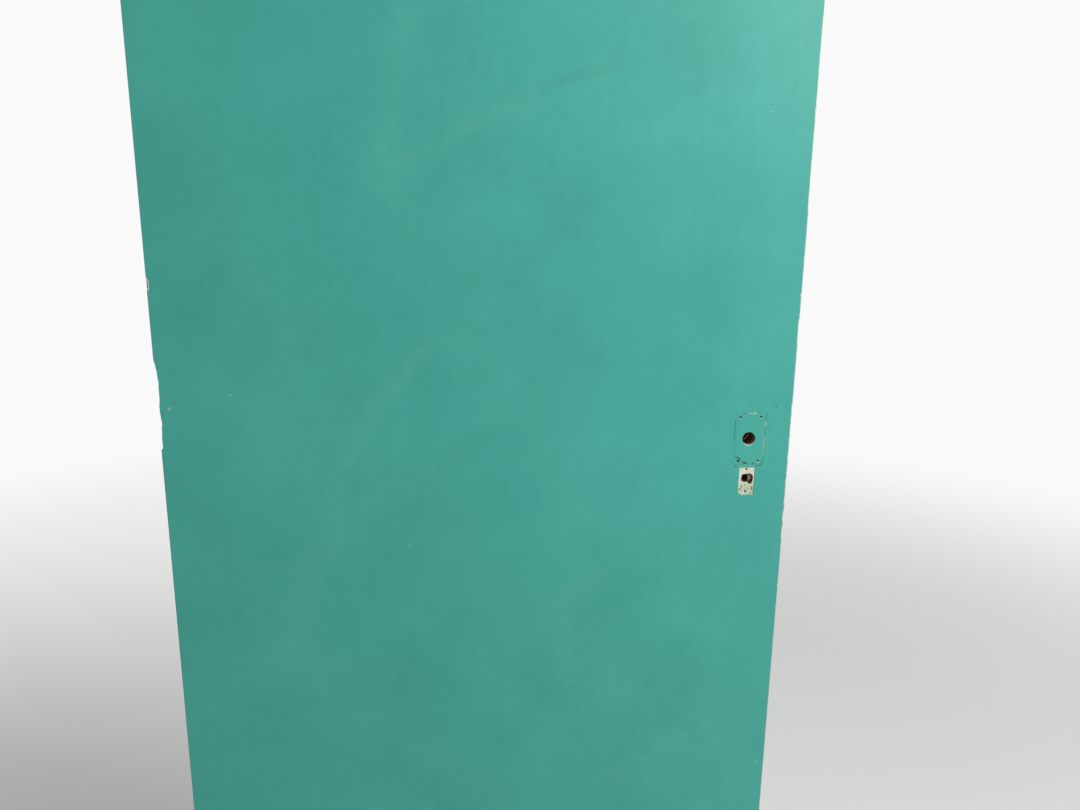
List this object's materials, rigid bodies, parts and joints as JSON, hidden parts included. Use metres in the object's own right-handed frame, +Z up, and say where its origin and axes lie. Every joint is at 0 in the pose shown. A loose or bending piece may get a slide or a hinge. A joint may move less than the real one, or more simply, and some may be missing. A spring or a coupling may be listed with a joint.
{
  "type": "hollow core door",
  "caption": "Flush hollow core door leaf, painted teal, with hinge gains, a spindle hole, a broken keyhole and an empty lock mortice.",
  "frame": {"origin": "middle of the bottom edge, half way through the thickness", "axes": "+X from the hinge edge to the lock edge, +Y from the front with the broken keyhole to the back, +Z up"},
  "size_m": [0.81, 0.035, 1.98],
  "materials": {
    "teal_painted_hardboard": "satin enamel over older cream paint",
    "painted_softwood": "worn cream gloss",
    "softwood": "planed, bare",
    "hardboard": "smooth, bare",
    "galvanised_wire": "dull zinc"
  },
  "bodies": {
    "root": {"front_skin": "teal_painted_hardboard", "back_skin": "teal_painted_hardboard", "hinge_stile": "painted_softwood", "lock_stile": "painted_softwood", "top_rail": "softwood", "bottom_rail": "softwood", "lock_block": "softwood", "spare_block": "softwood", "corner_staples": "galvanised_wire", "upright_strip_1": "hardboard", "upright_strip_2": "hardboard", "upright_strip_3": "hardboard", "upright_strip_4": "hardboard", "upright_strip_5": "hardboard", "upright_strip_6": "hardboard", "cross_strip_01": "hardboard", "cross_strip_02": "hardboard", "cross_strip_03": "hardboard", "cross_strip_04": "hardboard", "cross_strip_05": "hardboard", "cross_strip_06": "hardboard", "cross_strip_07": "hardboard", "cross_strip_08": "hardboard", "cross_strip_09": "hardboard", "cross_strip_10": "hardboard", "cross_strip_11": "hardboard", "cross_strip_12": "hardboard", "cross_strip_13": "hardboard", "cross_strip_14": "hardboard", "cross_strip_15": "hardboard", "cross_strip_16": "hardboard"}
  },
  "joints": []
}
